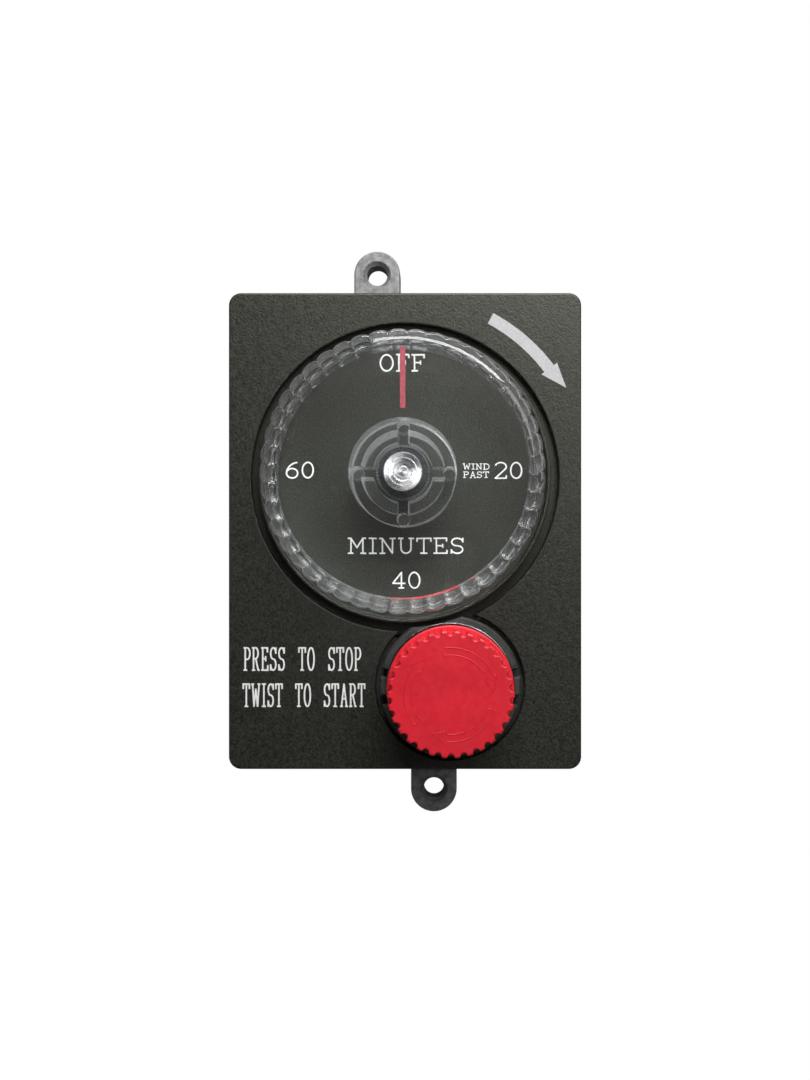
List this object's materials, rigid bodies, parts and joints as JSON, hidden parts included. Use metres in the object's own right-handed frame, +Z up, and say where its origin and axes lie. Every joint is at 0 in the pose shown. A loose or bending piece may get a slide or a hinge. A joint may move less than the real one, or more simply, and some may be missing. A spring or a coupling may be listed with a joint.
{
  "type": "clockwork gas timer",
  "caption": "Flush-mounted clockwork timer with a clear scalloped dial knob, a red push-and-twist stop button and a cast valve body with two ears.",
  "frame": {"origin": "centre of the panel plane, on the ears' back faces, midway between the two ear holes", "axes": "+X to the right and +Z up as seen from the front; +Y runs back into the panel"},
  "size_m": [0.114, 0.0878, 0.1836],
  "materials": {
    "black_powder": "fine textured powder coat",
    "black_plastic": "matt moulded",
    "clear_plastic": "clear moulded acrylic",
    "red_plastic": "satin moulded",
    "chrome": "turned and plated",
    "cast_alloy": "as die-cast",
    "rubber": "matt",
    "brass": "machined",
    "steel": "zinc plated",
    "spring_steel": "bright drawn wire"
  },
  "bodies": {
    "housing": {"face_plate": "black_powder", "dial_cup": "black_powder", "estop_collar": "black_plastic", "estop_ring_nut": "chrome", "valve_body": "cast_alloy", "rear_cover": "cast_alloy", "rear_gasket": "rubber", "timer_pin_oring": "rubber", "inlet_adapter": "brass", "outlet_adapter": "brass", "arbor_bush": "brass", "movement_front_plate": "brass", "movement_rear_plate": "brass", "movement_pillar_1": "brass", "movement_pillar_2": "brass", "movement_pillar_3": "brass", "movement_pillar_4": "brass", "estop_bushing": "brass", "cover_screw_1": "steel", "cover_screw_2": "steel", "cover_screw_3": "steel", "cover_screw_4": "steel", "cover_screw_5": "steel", "cover_screw_6": "steel", "plate_screw_1": "steel", "plate_screw_2": "steel", "plate_screw_3": "steel", "plate_screw_4": "steel", "movement_screw_1": "steel", "movement_screw_2": "steel", "movement_screw_3": "steel", "movement_screw_4": "steel", "dial_screw_1": "steel", "dial_screw_2": "steel", "spring_barrel": "steel", "mainspring": "spring_steel", "timer_valve_spring": "spring_steel", "estop_return_spring": "spring_steel"},
    "dial": {"dial_knob": "clear_plastic", "knob_insert": "chrome", "dial_arbor": "steel", "main_wheel": "brass", "valve_cam": "steel"},
    "second_arbor": {"second_pinion": "steel", "second_wheel": "brass"},
    "third_arbor": {"third_pinion": "steel", "third_wheel": "brass"},
    "escape_arbor": {"escape_pinion": "steel", "escape_wheel": "brass"},
    "pallet": {"pallet_lever": "steel"},
    "timer_valve": {"timer_valve_pin": "steel", "timer_valve_disc": "brass", "timer_valve_seal": "rubber"},
    "stop_plunger": {"estop_stem": "steel", "estop_stem_oring": "rubber", "estop_valve_disc": "brass", "estop_valve_seal": "rubber"},
    "stop_head": {"estop_head": "red_plastic", "estop_latch_ring": "black_plastic"}
  },
  "joints": [
    {"name": "dial_turn", "type": "hinge", "parent": "housing", "child": "dial", "pos_m": [0, 0, 0.0174], "axis": [0, 1, 0], "range_deg": [0, 270], "deforming": ["mainspring"]},
    {"name": "second_spin", "type": "hinge", "parent": "housing", "child": "second_arbor", "pos_m": [-0.02703, 0, -0.00153], "axis": [0, 1, 0], "range_deg": [-1215, 0]},
    {"name": "third_spin", "type": "hinge", "parent": "housing", "child": "third_arbor", "pos_m": [-0.01294, 0, -0.01336], "axis": [0, 1, 0], "range_deg": [0, 4374]},
    {"name": "escape_spin", "type": "hinge", "parent": "housing", "child": "escape_arbor", "pos_m": [0.00155, 0, -0.01724], "axis": [0, 1, 0], "range_deg": [-17496, 0]},
    {"name": "pallet_rock", "type": "hinge", "parent": "housing", "child": "pallet", "pos_m": [0.01492, 0, -0.01536], "axis": [0, 1, 0], "range_deg": [-2.5, 2.5]},
    {"name": "timer_valve_lift", "type": "slide", "parent": "housing", "child": "timer_valve", "axis": [0, 1, 0], "range_m": [0, 0.0025], "deforming": ["timer_valve_spring"]},
    {"name": "stop_push", "type": "slide", "parent": "housing", "child": "stop_plunger", "axis": [0, 1, 0], "range_m": [0, 0.0045], "stiffness_N_per_m": 1000, "springref_m": -0.003, "deforming": ["estop_return_spring"]},
    {"name": "stop_twist", "type": "hinge", "parent": "stop_plunger", "child": "stop_head", "pos_m": [0.0146, 0, -0.0499], "axis": [0, 1, 0], "range_deg": [0, 45], "stiffness_Nm_per_rad": 0.05}
  ],
  "couplings": [
    {"joint": "second_spin", "follows": "dial_turn", "ratio": -4.5},
    {"joint": "third_spin", "follows": "dial_turn", "ratio": 16.2},
    {"joint": "escape_spin", "follows": "dial_turn", "ratio": -64.8},
    {"joint": "timer_valve_lift", "follows": "dial_turn", "m_per_rad": 0.00053052}
  ]
}
